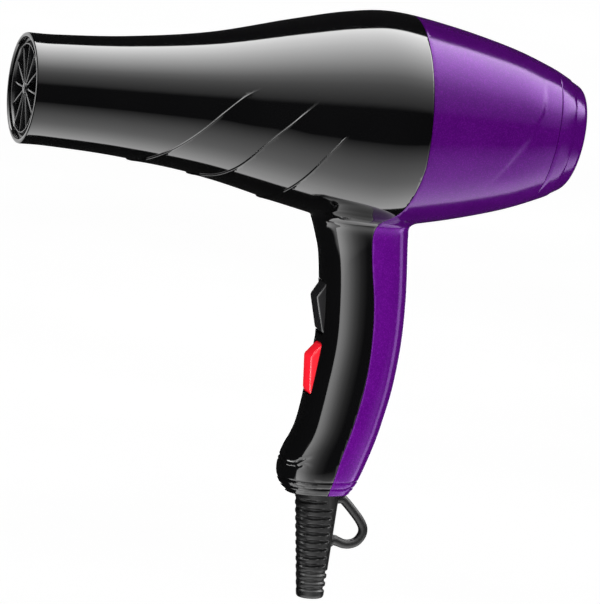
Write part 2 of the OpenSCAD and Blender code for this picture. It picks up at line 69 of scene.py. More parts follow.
# Handle: [height, middle along X, half depth, half width]
HANDLE_SECTIONS = [[-36, 153.4, 22.2, 17.6], [-44, 154.9, 20.9, 16.6], [-51, 156.4, 19.9, 16],
                   [-61, 158.4, 19.1, 15.6], [-77, 160.1, 18.7, 15.5], [-95, 160.7, 18.4, 15.4],
                   [-114, 159.2, 18.5, 15.3], [-130, 156.8, 18.1, 15], [-137, 155.1, 18.3, 14.9],
                   [-143, 152.9, 18.9, 14.8], [-149, 151.2, 18.8, 14.5], [-154, 150.4, 17.9, 14],
                   [-158.5, 150.4, 16.1, 12.8], [-162, 151, 13.2, 11]]
SECTION_POWER = 2.4
HANDLE_TOP_Z = -26.0
BASE_X, BASE_Z = 151.0, -162.0
BASE_SLOPE = math.tan(math.radians(3))
BASE_LEAN_FROM_Z = -120.0
SEAM_CURVE = [[SEAM_X, -14], [166.6, -25], [164.6, -34], [161.8, -39], [158, -43], [156.6, -48.5],
              [158, -60], [161.2, -78], [162.4, -95], [161.8, -112], [159, -130], [155, -147], [152.4, -163]]
WALL = 1.9
# The fillet between body and handle: its size at the middle plane and how much it grows sideways
FILLET, FILLET_GROWTH = 2.4, 2.4

# Mesh: grid step, and how near a cut line a point moves onto it or already counts as on it
GRID = 1.25
SNAP, ON_LINE = 0.1, 0.03

# Raised scale lines on the barrel: [place along X, angle up from the underside in degrees]
SCALE_LINES = [[[46, -14], [50, 5.5], [57.5, 37.5], [75, 81], [87, 103.5], [96, 113]],
               [[74, -10], [78.5, 14], [83.5, 25], [89.5, 43], [99.5, 73], [110, 92], [120, 106]],
               [[105, -18], [108, 2], [110, 20], [113.5, 38], [122, 65], [128, 79.5], [135, 92]]]
SCALE_STEP = 0.5
# A scale line's section: distances behind the line and the rise there, as a share of the step
SCALE_AT = (0, 0.2, 0.4, 0.6, 0.8)
SCALE_RISE = (0, 0.75, 1.15, 1.15, 1)
# Soft line on the rear case: [place along X, angle up from the underside in degrees]
REAR_LINE = [[198, 57], [203, 66.5], [208, 77.5], [214.5, 92], [218.5, 106], [221, 115], [223, 143]]

# Rockers: place of the pivot, and lean of the handle's front there in degrees
ROCKERS = {"upper": ([149.1, -81.8], -4.3), "lower": ([148.8, -109.3], 6.1)}
ROCKER_W = 10.6
SLOT_HALF = (11.5, ROCKER_W / 2 + 0.3)
SLOT_CORNER = 1.6
# Side outline of a rocker about its pivot: [into the handle, up]
ROCKER_OUTLINE = [[-6.3, 11.0], [-10.4, 4.8], [-7.6, -9.6], [-6.2, -11.3], [-3.4, -11.4], [2.6, -4.5],
                  [2.6, 4.5], [-2.2, 11.2]]

CASE_SCREW_Z = (-62.0, -134.5)
SCREW_HOLE_R = 3.3
CREASE_Z = -43.9
BASE_GROOVES = (-155.9, -158.9)
# Half widths of the seam and the base grooves, and widths of the crease and of the rounded hole edges
SEAM_HALF, GROOVE_HALF = 0.3, 0.5
CREASE_WIDTH, SLOT_EDGE, SCREW_EDGE = 0.9, 0.6, 0.4
# Where the case skin gives way to the outlet rim and to the rounded edge of the base
RIM_X, BASE_RIM = 0.7, 1.0
# Lip of the finger stop: [distance to the side, height]
LIP_CURVE = [[0, -146.6], [4, -147.4], [8, -148.2], [10.5, -147.8], [12, -146.4], [13.1, -145.2],
             [14, -143.2], [15, -140]]

# Rubber sleeve and its loop
BOOT_TOP_R, BOOT_END_R, BOOT_L = 9.5, 5.8, 45.5
CORD_HOLE_R = 3.6
RIB_PITCH, FIRST_RIB = 3.45, 3.15
# The first nine grooves stop short of the spine behind, the other three run all round
GROOVES, OPEN_GROOVES = 12, 9
COLLAR = [[CORD_HOLE_R, 5.0], [CORD_HOLE_R, 5.5], [9.0, 5.5], [9.0, 2.7], [6.8, 2.7], [6.8, 0.0]]
SLEEVE_END_ROUND = 1.6
LOOP_R = 2.0
LOOP_ROUTE = [[153, 0, -165.6], [158, 0, -164.6], [162.2, 0, -164.2], [164.2, 0, -165.4],
              [167.6, 0, -168.7], [171.2, 0, -172.6], [173.1, 0, -175.8], [173.1, 0, -178.8],
              [171.2, 0, -181.8], [168.4, 0, -183.2], [165.4, 0, -183.4], [162.6, 0, -182.6],
              [160.2, 0, -182.2], [156, 0, -184.6]]


# ------ curves and the smooth outer surface

def smooth(points, steps):
    """The same smooth curve through the points as the CAD outline uses."""
    points = np.array(points, float)
    last = len(points) - 1
    out = []
    for i in range(last):
        a, b, c, d = points[max(i - 1, 0)], points[i], points[i + 1], points[min(i + 2, last)]
        for j in range(steps):
            t = j / steps
            out.append(0.5 * (2 * b + (c - a) * t + (2 * a - 5 * b + 4 * c - d) * t * t
                              + (3 * b - a - 3 * c + d) * t ** 3))
    return np.array(out + [points[-1]])


def ease(value, low, high):
    """Rises smoothly from 0 at low to 1 at high."""
    t = np.clip((value - low) / (high - low), 0, 1)
    return t * t * (3 - 2 * t)


BODY = smooth(BODY_PROFILE, 40)
BODY_COS = 1 / np.sqrt(1 + np.gradient(BODY[:, 1], BODY[:, 0]) ** 2)
HANDLE = smooth(HANDLE_SECTIONS, 24)[::-1]
SEAM = smooth(SEAM_CURVE, 12)[::-1]


def body_radius(x):
    return np.interp(x, BODY[:, 0], BODY[:, 1])


def body_distance(p):
    """Distance outside the body's round surface."""
    slope = np.interp(p[:, 0], BODY[:, 0], BODY_COS)
    return (np.hypot(p[:, 1], p[:, 2]) - body_radius(p[:, 0])) * slope


def handle_distance(p):
    """Distance outside the handle, whose sections tip forward with the sloping base."""
    x, y, z = p.T
    lean = BASE_SLOPE * np.clip((BASE_LEAN_FROM_Z - z) / (BASE_LEAN_FROM_Z - BASE_Z), 0, 1)
    level = z - (x - BASE_X) * lean
    middle, deep, wide = [np.interp(level, HANDLE[:, 0], HANDLE[:, i]) for i in (1, 2, 3)]
    dx = x - middle
    swell = (np.abs(dx) / deep) ** SECTION_POWER + (np.abs(y) / wide) ** SECTION_POWER + 1e-9
    side = np.hypot(dx, y) * (1 - swell ** (-1 / SECTION_POWER))
    return np.maximum(side, z - HANDLE_TOP_Z)


def field(p):
    """Near zero on the outer surface, negative inside: the body and the handle with a fillet between."""
    body, handle = body_distance(p), handle_distance(p)
    fillet = FILLET + FILLET_GROWTH * ease(np.abs(p[:, 1]), 3, 14)
    share = np.clip(0.5 + 0.5 * (handle - body) / fillet, 0, 1)
    return handle * (1 - share) + body * share - fillet * share * (1 - share)


def gradient(p, function=field, gap=0.04):
    """Slope of a function of place, from differences over a small gap."""
    out = np.empty_like(p)
    for axis in range(3):
        shift = np.zeros(3)
        shift[axis] = gap
        out[:, axis] = (function(p + shift) - function(p - shift)) / (2 * gap)
    return out


def onto_surface(p, rounds=3):
    """Moves points along the slope until they lie on the outer surface."""
    for _ in range(rounds):
        slope = gradient(p)
        p = p - slope * (field(p) / np.maximum((slope ** 2).sum(1), 0.05))[:, None]
    return p


def surface_nets(low, high, step):
    """A quad mesh of field's zero surface, one point in each grid cell that it crosses."""
    axes = [np.arange(low[i], high[i], step) for i in range(3)]
    shape = tuple(len(a) for a in axes)
    inside = np.empty(shape, bool)
    for i, x in enumerate(axes[0]):
        y, z = np.meshgrid(axes[1], axes[2], indexing="ij")
        sheet = np.stack([np.full(y.size, x), y.ravel(), z.ravel()], 1)
        inside[i] = (field(sheet) < 0).reshape(y.shape)
    nx, ny, nz = shape
    corners = [inside[a:nx - 1 + a, b:ny - 1 + b, c:nz - 1 + c].astype(np.int8)
               for a in (0, 1) for b in (0, 1) for c in (0, 1)]
    total = sum(corners)
    active = (total > 0) & (total < 8)
    number = np.full(active.shape, -1)
    number[active] = np.arange(active.sum())
    points = np.array(low) + (np.argwhere(active) + 0.5) * step
    quads = []
    for axis in range(3):
        u, v = (axis + 1) % 3, (axis + 2) % 3
        first = np.take(inside, np.arange(shape[axis] - 1), axis)
        second = np.take(inside, np.arange(1, shape[axis]), axis)
        at = np.argwhere(first != second)
        at = at[(at[:, u] > 0) & (at[:, v] > 0) & (at[:, u] < shape[u] - 1) & (at[:, v] < shape[v] - 1)]
        ring = []
        for du, dv in ((-1, -1), (0, -1), (0, 0), (-1, 0)):
            cell = at.copy()
            cell[:, u] += du
            cell[:, v] += dv
            ring.append(number[tuple(cell.T)])
        ring = np.stack(ring, 1)
        leaving = first[tuple(at.T)]
        ring[~leaving] = ring[~leaving][:, ::-1]
        quads.append(ring)
    return points, np.concatenate(quads)


def relaxed(points, quads, rounds):
    """Evens the mesh out along the surface."""
    edges = np.concatenate([quads[:, [i, (i + 1) % 4]] for i in range(4)])
    edges = np.unique(np.sort(edges, 1), axis=0)
    degree = np.bincount(edges.ravel(), minlength=len(points))
    for _ in range(rounds):
        total = np.zeros_like(points)
        for axis in range(3):
            total[:, axis] = (np.bincount(edges[:, 0], points[edges[:, 1], axis], len(points))
                              + np.bincount(edges[:, 1], points[edges[:, 0], axis], len(points)))
        points = onto_surface(points + 0.7 * (total / degree[:, None] - points), 1)
    return onto_surface(points, 2)


# ------ lines on the surface

def seam_level(p):
    """Negative on the front case, positive on the rear case."""
    return p[:, 0] - np.interp(p[:, 2], SEAM[:, 1], SEAM[:, 0])


def cap_level(p):
    """Negative on the rear case, positive on the tail cap."""
    return p[:, 0] - p[:, 2] * TAIL_TILT - CAP_SEAM_X


def base_level(p):
    """Height above the handle's sloping base."""
    return p[:, 2] - (p[:, 0] - BASE_X) * BASE_SLOPE - BASE_Z


def angle_up(p):
    """Angle round the body from its underside, in degrees."""
    return np.degrees(np.arctan2(np.abs(p[:, 1]), -p[:, 2]))


def scale_level(p, line):
    """Distance behind a scale line on the barrel, and no number past its end."""
    curve = smooth(line, 10)
    at = np.interp(p[:, 0], curve[:, 0], curve[:, 1])
    slope = np.interp(p[:, 0], curve[:, 0], np.gradient(curve[:, 1], curve[:, 0]))
    radius = body_radius(p[:, 0])
    level = np.radians(at - angle_up(p)) * radius / np.sqrt(1 + (np.radians(slope) * radius) ** 2)
    level[(p[:, 0] > line[-1][0]) | (handle_distance(p) < 2)] = np.nan
    return level


def rear_line_level(p):
    """Distance behind the soft line on the rear case."""
    curve = smooth(REAR_LINE, 10)
    at = np.interp(angle_up(p), curve[:, 1], curve[:, 0])
    return (p[:, 0] - at) * 0.8


def crease_level(p):
    """Distance below the handle's top edge, only on the handle itself."""
    level = CREASE_Z - p[:, 2]
    level[(body_distance(p) < 0.4) | (p[:, 2] < -60)] = np.nan
    return level


def slot_level(p, name):
    """Distance outside the edge of a rocker's slot, only on the front of the handle."""
    (px, pz), lean = ROCKERS[name]
    turn = math.radians(lean)
    along = (p[:, 2] - pz) * math.cos(turn) + (p[:, 0] - px) * math.sin(turn)
    deep = (p[:, 0] - px) * math.cos(turn) - (p[:, 2] - pz) * math.sin(turn)
    over = np.abs(along) - (SLOT_HALF[0] - SLOT_CORNER)
    side = np.abs(p[:, 1]) - (SLOT_HALF[1] - SLOT_CORNER)
    level = (np.hypot(np.maximum(over, 0), np.maximum(side, 0))
             + np.minimum(np.maximum(over, side), 0) - SLOT_CORNER)
    level[(deep > 0) | (level > 4)] = np.nan
    return level


def screw_level(p, height):
    """Distance outside the edge of a screw hole, only on the back of the handle."""
    level = np.hypot(p[:, 1], p[:, 2] - height) - SCREW_HOLE_R
    level[(p[:, 0] < 165) | (level > 4)] = np.nan
    return level


def lip_level(p):
    """Distance above the finger stop's lip, only on the front of the handle."""
    curve = smooth(LIP_CURVE, 8)
    at = np.interp(np.abs(p[:, 1]), curve[:, 0], curve[:, 1])
    slope = np.interp(np.abs(p[:, 1]), curve[:, 0], np.gradient(curve[:, 1], curve[:, 0]))
    level = (p[:, 2] - at) / np.sqrt(1 + slope ** 2)
    level[(p[:, 0] > 150) | (p[:, 2] > -120) | (body_distance(p) < 20)] = np.nan
    return level


def known(level, fill):
    """The level with a number in place of each missing one."""
    return np.where(np.isnan(level), fill, level)


def groove(level, depth, half):
    return depth * np.clip(1 - np.abs(level) / half, 0, 1)


def relief(p):
    """How far the finished surface stands out from the smooth one."""
    out = np.zeros(len(p))
    for line in SCALE_LINES:
        level = known(scale_level(p, line), -1)
        start, end = line[1][0], line[-1][0]
        fade = 1 - ease(p[:, 0], start + 0.7 * (end - start), end - 0.5)
        fade *= ease(handle_distance(p), 2, 10)
        rise = np.interp(level, SCALE_AT, SCALE_RISE)
        out += SCALE_STEP * fade * rise * np.exp(-np.maximum(level - SCALE_AT[-1], 0) / 11)
    angle = angle_up(p)
    level = rear_line_level(p)
    fade = ease(angle, 57, 75) * (1 - ease(angle, 125, 145)) * (seam_level(p) > 0)
    out -= 0.35 * fade * ease(level, -0.7, 0.9) * np.exp(-np.maximum(level - 0.9, 0) / 9)
    out -= groove(seam_level(p), 0.28, SEAM_HALF)
    level = known(crease_level(p), -1)
    on_handle = ease(body_distance(p), 0.4, 1.6)
    step = 0.3 * np.sqrt(np.clip(level / CREASE_WIDTH, 0, 1))
    out += step * on_handle * (1 - ease(-p[:, 2], 45, 59.5))
    for name in ROCKERS:
        level = known(slot_level(p, name), 9)
        out -= 0.4 * np.clip(1 - level / SLOT_EDGE, 0, 1) ** 2
    for height in CASE_SCREW_Z:
        level = known(screw_level(p, height), 9)
        out -= 0.3 * np.clip(1 - level / SCREW_EDGE, 0, 1) ** 2
    for height in BASE_GROOVES:
        out -= groove(base_level(p) - (height - BASE_Z), 0.42, GROOVE_HALF)
    level = known(lip_level(p), -9)
    fade = (1 - ease(p[:, 0], 139.5, 143.5)) * ease(-p[:, 2], 138, 142)
    out -= fade * (groove(level, 0.4, 0.55) + groove(level + 1.9, 0.3, 0.5))
    return out


def packed(points, faces):
    """A bmesh of the points and faces."""
    mesh = bpy.data.meshes.new("working")
    mesh.from_pydata(np.asarray(points, float).tolist(), [], [[int(i) for i in f] for f in faces])
    bm = bmesh.new()
    bm.from_mesh(mesh)
    bpy.data.meshes.remove(mesh)
    return bm


def unpacked(bm):
    """The points and faces of a bmesh, which is then let go."""
    bm.verts.index_update()
    points = np.array([v.co[:] for v in bm.verts])
    faces = [[v.index for v in f.verts] for f in bm.faces]
    bm.free()
    return points, faces


def at_level(function, level, *rest):
    """The function of place whose zero lies where the given one has this level."""
    return lambda p: function(p, *rest) - level


def cut_lines():
    """Every line that the mesh is cut along, so that its edges stay crisp."""
    lines = [at_level(scale_level, at, line) for line in SCALE_LINES for at in SCALE_AT]
    lines += [at_level(seam_level, at) for at in (-SEAM_HALF, 0, SEAM_HALF)]
    lines += [lambda p: CREASE_Z - p[:, 2]]
    lines += [at_level(crease_level, at) for at in (0.25, CREASE_WIDTH)]
    lines += [at_level(slot_level, at, name) for name in ROCKERS for at in (SLOT_EDGE, 0.25, 0)]
    lines += [at_level(screw_level, at, height) for height in CASE_SCREW_Z for at in (SCREW_EDGE, 0)]
    lines += [at_level(base_level, height - BASE_Z + side) for height in BASE_GROOVES
              for side in (-GROOVE_HALF, 0, GROOVE_HALF)]
    lines += [at_level(lip_level, at) for at in (0.55, 0, -0.55, -1.0, -1.4, -1.9, -2.4)]
    lines += [lambda p: p[:, 0] - RIM_X, cap_level, at_level(base_level, BASE_RIM)]
    return lines


def cut(bm, line):
    """Splits the faces that the line's zero crosses, after nearby points have moved onto it."""
    bm.verts.index_update()
    points = np.array([v.co[:] for v in bm.verts])
    level = line(points)
    near = np.nonzero(np.abs(known(level, 9)) < SNAP)[0]
    if len(near):
        slope = gradient(points[near], line)
        ok = np.isfinite(slope).all(1) & ((slope ** 2).sum(1) > 0.2)
        near, slope = near[ok], slope[ok]
        moved = onto_surface(points[near] - slope * (level[near] / (slope ** 2).sum(1))[:, None], 1)
        bm.verts.ensure_lookup_table()
        for index, place in zip(near, moved):
            bm.verts[index].co = place
            level[index] = 0.0
    level = [None if math.isnan(g) else float(g) for g in level]
    on = {v for v, g in zip(bm.verts, level) if g is not None and abs(g) < ON_LINE}
    for edge in list(bm.edges):
        a, b = edge.verts
        ga, gb = level[a.index], level[b.index]
        if ga is None or gb is None or ga * gb >= 0 or a in on or b in on:
            continue
        _, point = bmesh.utils.edge_split(edge, a, ga / (ga - gb))
        on.add(point)
    faces = {f for v in on for f in v.link_faces}
    for face in faces:
        ends = [v for v in face.verts if v in on]
        if len(ends) < 2:
            continue
        ring = list(face.verts)
        i, j = ring.index(ends[0]), ring.index(ends[1])
        if abs(i - j) in (1, len(ring) - 1):
            if len(ends) == 2:
                continue
            j = ring.index(ends[2])
            if abs(i - j) in (1, len(ring) - 1):
                continue
        bmesh.utils.face_split(face, ring[i], ring[j])


def case_surface():
    """The whole outer case as one open surface, with the slots, holes and ends cut out."""
    points, quads = surface_nets((-6.0, -49.0, -170.0), (250.0, 49.5, 49.5), GRID)
    points = relaxed(onto_surface(points, 4), quads, 6)
    bm = packed(points, quads)
    for line in cut_lines():
        cut(bm, line)
    centre = np.array([f.calc_center_median()[:] for f in bm.faces])
    gone = (centre[:, 0] < RIM_X) | (cap_level(centre) > 0) | (base_level(centre) < BASE_RIM)
    for name in ROCKERS:
        gone |= known(slot_level(centre, name), 9) < 0
    for height in CASE_SCREW_Z:
        gone |= known(screw_level(centre, height), 9) < 0
    faces = list(bm.faces)
    bmesh.ops.delete(bm, geom=[f for f, g in zip(faces, gone) if g], context="FACES")
    return unpacked(bm)


# ------ from points to pieces

def add_piece(name, shape, body, slot_name, replaced=(), sharp=24.0):
    """A smooth-shaded piece of (points, faces) with crisp edges, riding on its body."""
    points, faces = shape
    mesh = bpy.data.meshes.new(name)
    mesh.from_pydata((np.asarray(points, float) * MM).tolist(), [], [[int(i) for i in f] for f in faces])
    mesh.polygons.foreach_set("use_smooth", [True] * len(mesh.polygons))
    mesh.set_sharp_from_angle(angle=math.radians(sharp))
    mesh.materials.append(LOOKS[slot_name])
    obj = bpy.data.objects.new(name, mesh)
    bpy.context.scene.collection.objects.link(obj)
    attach(obj, body)
    if replaced:
        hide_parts(*replaced)
    return obj


def joined(parts):
    """Several (points, faces) as one."""
    points, faces, start = [], [], 0
    for part_points, part_faces in parts:
        points.append(np.asarray(part_points, float))
        faces += [[i + start for i in f] for f in part_faces]
        start += len(part_points)
    return np.concatenate(points), faces


def outward(points, faces):
    """The same closed mesh with every face turned outwards."""
    bm = packed(points, faces)
    bmesh.ops.recalc_face_normals(bm, faces=bm.faces)
    return unpacked(bm)


def ring_faces(rows, columns, close_rows):
    """Quads between rings of points, each ring closed on itself."""
    faces = []
    for i in range(rows if close_rows else rows - 1):
        j = (i + 1) % rows
        for k in range(columns):
            m = (k + 1) % columns
            faces.append([i * columns + k, i * columns + m, j * columns + m, j * columns + k])
    return faces


def tube(route, radii, sides):
    """A round rod along a route that stays in the XZ plane, with closed ends."""
    route = np.asarray(route, float)
    along = np.gradient(route, axis=0)
    along /= np.linalg.norm(along, axis=1)[:, None]
    side = np.array([0.0, 1.0, 0.0])
    points = []
    for centre, direction, radius in zip(route, along, radii):
        other = np.cross(direction, side)
        for k in range(sides):
            turn = 2 * math.pi * k / sides
            points.append(centre + radius * (side * math.cos(turn) + other * math.sin(turn)))
    faces = ring_faces(len(route), sides, False)
    faces.append(list(range(sides)))
    faces.append(list(range((len(route) - 1) * sides, len(route) * sides))[::-1])
    return outward(points, faces)


def lathe_x(profile, columns):
    """A closed ring about the body's axis from a closed outline of [place on the axis, radius]."""
    points = []
    for x, r in profile:
        for k in range(columns):
            turn = 2 * math.pi * k / columns
            points.append([x, r * math.cos(turn), r * math.sin(turn)])
    return outward(points, ring_faces(len(profile), columns, True))


def rectangle(start, end, half):
    return [[start, -half], [end, -half], [end, half], [start, half]]


def bevelled(outline, thickness, width, segments):
    """A flat outline in the first two axes made thick along the third, with rounded edges."""
    bm = bmesh.new()
    low = [bm.verts.new((x, y, -thickness / 2)) for x, y in outline]
    high = [bm.verts.new((x, y, thickness / 2)) for x, y in outline]
    bm.faces.new(low[::-1])
    bm.faces.new(high)
    for i in range(len(outline)):
        j = (i + 1) % len(outline)
        bm.faces.new((low[i], low[j], high[j], high[i]))
    bmesh.ops.recalc_face_normals(bm, faces=bm.faces)
    bmesh.ops.bevel(bm, geom=list(bm.edges), offset=width, segments=segments, profile=0.5,
                    affect="EDGES", clamp_overlap=True)
    return unpacked(bm)


# ------ materials

def link(tree, value, socket):
    """Sets a socket to a number or joins it to another node's output."""
    if isinstance(value, bpy.types.NodeSocket):
        tree.links.new(value, socket)
    else:
        socket.default_value = value


def node(tree, kind, values=None, **settings):
    """A new node with its settings and its inputs filled in."""
    made = tree.nodes.new(kind)
    for key, value in settings.items():
        setattr(made, key, value)
    for key, value in (values or {}).items():
        link(tree, value, made.inputs[key])
    return made


def calc(tree, operation, a, b=0.0):
    return node(tree, "ShaderNodeMath", {0: a, 1: b}, operation=operation).outputs[0]


def span(tree, value, low, high):
    """A value from 0 to 1 spread over low to high."""
    return node(tree, "ShaderNodeMapRange", {"Value": value, "To Min": low, "To Max": high}).outputs["Result"]


def blend_colour(tree, share, a, b):
    ends = {"Factor": share, 6: (*a, 1.0), 7: (*b, 1.0)}
    return node(tree, "ShaderNodeMix", ends, data_type="RGBA").outputs[2]


def pulled_place(tree, place, stretch):
    return node(tree, "ShaderNodeVectorMath", {0: place, 1: stretch}, operation="MULTIPLY").outputs[0]


def emboss(tree, inputs, height, strength, depth):
    """Shades the surface as if the height pattern stood out from it."""
    raised = node(tree, "ShaderNodeBump", {"Height": height, "Strength": strength, "Distance": depth})
    link(tree, raised.outputs[0], inputs["Normal"])


def noise(tree, place, scale, detail=3.0, rough=0.55):
    return node(tree, "ShaderNodeTexNoise", {"Vector": place, "Scale": scale, "Detail": detail,
                                             "Roughness": rough}).outputs["Fac"]


def start_material(name):
    """A new material with its tree, its object coordinates and its surface inputs."""
    made = bpy.data.materials.new(name)
    made.use_nodes = True
    tree = made.node_tree
    place = node(tree, "ShaderNodeTexCoord").outputs["Object"]
    return made, tree, place, tree.nodes["Principled BSDF"].inputs


def plain_finish(name, dark, light, rough, metallic=0.0, scale=900.0, bump=0.1, depth=0.00004,
                 stretch=(1.0, 1.0, 1.0)):
    """A moulded, rolled or cast surface: fine grain in its colour, roughness and height."""
    made, tree, place, inputs = start_material(name)
    pulled = pulled_place(tree, place, stretch)
    fine = noise(tree, pulled, scale, 4.0)
    broad = noise(tree, pulled, scale * 0.06, 3.0)
    link(tree, blend_colour(tree, span(tree, broad, -0.4, 1.4), dark, light), inputs["Base Color"])
    level = calc(tree, "ADD", span(tree, fine, *rough), span(tree, broad, -0.04, 0.04))
    link(tree, level, inputs["Roughness"])
    inputs["Metallic"].default_value = metallic
    emboss(tree, inputs, fine, bump, depth)
    return made


def gloss_finish(name, dark, light, rough, wave=0.06):
    """Polished moulded plastic: faint sink marks, hairline scratches and dust in the gloss."""
    made, tree, place, inputs = start_material(name)
    broad = noise(tree, place, 38.0, 2.0)
    hair = noise(tree, pulled_place(tree, place, (60.0, 900.0, 900.0)), 1.0, 3.0, 0.7)
    dust = noise(tree, place, 2600.0, 2.0, 0.6)
    spots = span(tree, calc(tree, "POWER", dust, 6.0), 0.0, 0.25)
    link(tree, blend_colour(tree, broad, dark, light), inputs["Base Color"])
    link(tree, calc(tree, "ADD", span(tree, hair, *rough), spots), inputs["Roughness"])
    height = calc(tree, "ADD", calc(tree, "MULTIPLY", broad, 6.0), calc(tree, "MULTIPLY", hair, 0.02))
    emboss(tree, inputs, height, wave, 0.0001)
    return made


def flake_finish(name, deep, bright, rough, metallic, shine):
    """Satin metallic paint: fine bright flakes in a coloured ground."""
    made, tree, place, inputs = start_material(name)
    cells = node(tree, "ShaderNodeTexVoronoi", {"Vector": place, "Scale": 3200.0, "Randomness": 1.0})
    glint = node(tree, "ShaderNodeSeparateColor", {0: cells.outputs["Color"]})
    cloud = noise(tree, place, 60.0, 3.0)
    spark = calc(tree, "POWER", glint.outputs[0], 3.0)
    share = calc(tree, "ADD", calc(tree, "MULTIPLY", spark, 0.6), calc(tree, "MULTIPLY", cloud, 0.3))
    link(tree, blend_colour(tree, share, deep, bright), inputs["Base Color"])
    level = calc(tree, "ADD", span(tree, glint.outputs[1], *rough), span(tree, cloud, -0.02, 0.02))
    link(tree, level, inputs["Roughness"])
    inputs["Metallic"].default_value = metallic
    inputs["Specular IOR Level"].default_value = shine
    peel = noise(tree, place, 500.0, 2.0)
    height = calc(tree, "ADD", calc(tree, "MULTIPLY", glint.outputs[2], 0.5), peel)
    emboss(tree, inputs, height, 0.14, 0.00002)
    return made


def board_finish(name, dark, light, scale):
    """Layered sheet: patches of flat fragments with darker joints."""
    made, tree, place, inputs = start_material(name)
    cells = node(tree, "ShaderNodeTexVoronoi", {"Vector": place, "Scale": scale})
    grey = node(tree, "ShaderNodeSeparateColor", {0: cells.outputs["Color"]})
    link(tree, blend_colour(tree, grey.outputs[0], dark, light), inputs["Base Color"])
    link(tree, span(tree, grey.outputs[1], 0.45, 0.75), inputs["Roughness"])
    emboss(tree, inputs, cells.outputs["Distance"], 0.2, 0.0001)
    return made


def layered_finish(name, dark, light, scale, rough):
    """Stacked sheets or wound wire: fine bands across the axis."""
    made, tree, place, inputs = start_material(name)
    bands = node(tree, "ShaderNodeTexWave", {"Vector": place, "Scale": scale, "Distortion": 0.6,
                                             "Detail": 2.0}, bands_direction="X").outputs["Fac"]
    link(tree, blend_colour(tree, bands, dark, light), inputs["Base Color"])
    link(tree, span(tree, noise(tree, place, 700.0), *rough), inputs["Roughness"])
    inputs["Metallic"].default_value = 0.9
    emboss(tree, inputs, bands, 0.4, 0.0001)
    return made


# Plain finishes by slot: name, darkest and lightest colour, least and most roughness, metallic,
# grain scale, bump, depth, stretch
PLAIN_FINISHES = {
    "soft_rubber": ("cord_sleeve_rubber", (0.0015, 0.0015, 0.0017), (0.0045, 0.0045, 0.0048), (0.34, 0.5),
                    0.0, 2600.0, 0.35, 0.00003),
    "dark_mesh": ("woven_steel_wire", (0.02, 0.02, 0.022), (0.06, 0.06, 0.065), (0.3, 0.45), 0.8, 2200.0, 0.3),
    "resistance_wire": ("heater_wire", (0.06, 0.055, 0.05), (0.12, 0.11, 0.1), (0.35, 0.5), 0.9, 1500.0),
    "tinned_metal": ("tinned_sheet", (0.45, 0.45, 0.44), (0.62, 0.62, 0.6), (0.25, 0.4), 0.9, 800.0),
    "duct_plastic": ("duct_moulding", (0.03, 0.03, 0.033), (0.055, 0.055, 0.06), (0.35, 0.5),
                     0.0, 1600.0, 0.25),
    "motor_steel": ("zinc_plated_steel", (0.38, 0.38, 0.4), (0.52, 0.52, 0.54), (0.22, 0.38),
                    1.0, 700.0, 0.15, 0.00004, (0.1, 1.0, 1.0)),
    "ferrite": ("ferrite_block", (0.03, 0.029, 0.03), (0.06, 0.058, 0.06), (0.5, 0.7), 0.0, 2400.0),
    "carbon": ("carbon_brush", (0.015, 0.015, 0.016), (0.035, 0.035, 0.037), (0.4, 0.6), 0.0, 2400.0),
    "bronze": ("sintered_bronze", (0.33, 0.19, 0.08), (0.45, 0.28, 0.13), (0.35, 0.5), 0.95, 2800.0, 0.3),
    "white_plastic": ("nylon_end_cap", (0.55, 0.54, 0.5), (0.68, 0.67, 0.63), (0.4, 0.55), 0.0, 1400.0),
    "switch_plastic": ("switch_moulding", (0.012, 0.012, 0.013), (0.03, 0.03, 0.032), (0.4, 0.55),
                       0.0, 1800.0, 0.2),
    "brass_terminal": ("stamped_brass", (0.45, 0.32, 0.1), (0.62, 0.46, 0.18), (0.25, 0.4), 0.95, 900.0),
    "capacitor_yellow": ("capacitor_case", (0.6, 0.38, 0.03), (0.75, 0.5, 0.06), (0.3, 0.45), 0.0, 900.0),
    "wire_insulation": ("wire_cover", (0.35, 0.02, 0.02), (0.5, 0.04, 0.035), (0.35, 0.5), 0.0, 1500.0),
    "screw_steel": ("plated_screw", (0.4, 0.4, 0.41), (0.55, 0.55, 0.56), (0.25, 0.4), 1.0, 1100.0),
    "screw_black": ("blacked_screw", (0.012, 0.012, 0.013), (0.035, 0.035, 0.037), (0.35, 0.5), 0.7, 1300.0),
}
LOOKS = {slot_name: plain_finish(*values) for slot_name, values in PLAIN_FINISHES.items()}
LOOKS.update({
    "gloss_black": gloss_finish(
        "polished_black", (0.0016, 0.0016, 0.0018), (0.0026, 0.0026, 0.0028), (0.03, 0.075)),
    "metallic_purple": flake_finish(
        "purple_paint", (0.062, 0.0008, 0.13), (0.15, 0.006, 0.27), (0.09, 0.17), 0.17, 0.15),
    "grille_black": gloss_finish("grille_plastic", (0.006, 0.006, 0.0065), (0.012, 0.012, 0.013), (0.12, 0.2)),
    "rocker_black": gloss_finish(
        "rocker_black_plastic", (0.003, 0.003, 0.0033), (0.006, 0.006, 0.0065), (0.08, 0.15)),
    "rocker_red": gloss_finish("rocker_red_plastic", (0.5, 0.004, 0.012), (0.62, 0.008, 0.018), (0.1, 0.17)),
    "mica": board_finish("mica_sheet", (0.012, 0.011, 0.009), (0.03, 0.028, 0.022), 260.0),
    "board_green": board_finish("fibreglass_board", (0.01, 0.08, 0.03), (0.02, 0.13, 0.05), 500.0),
    "lamination": layered_finish(
        "stacked_steel_sheets", (0.12, 0.12, 0.13), (0.4, 0.4, 0.42), 320.0, (0.3, 0.45)),
    "copper": layered_finish("enamelled_copper", (0.35, 0.1, 0.03), (0.65, 0.24, 0.09), 500.0, (0.2, 0.35)),
})

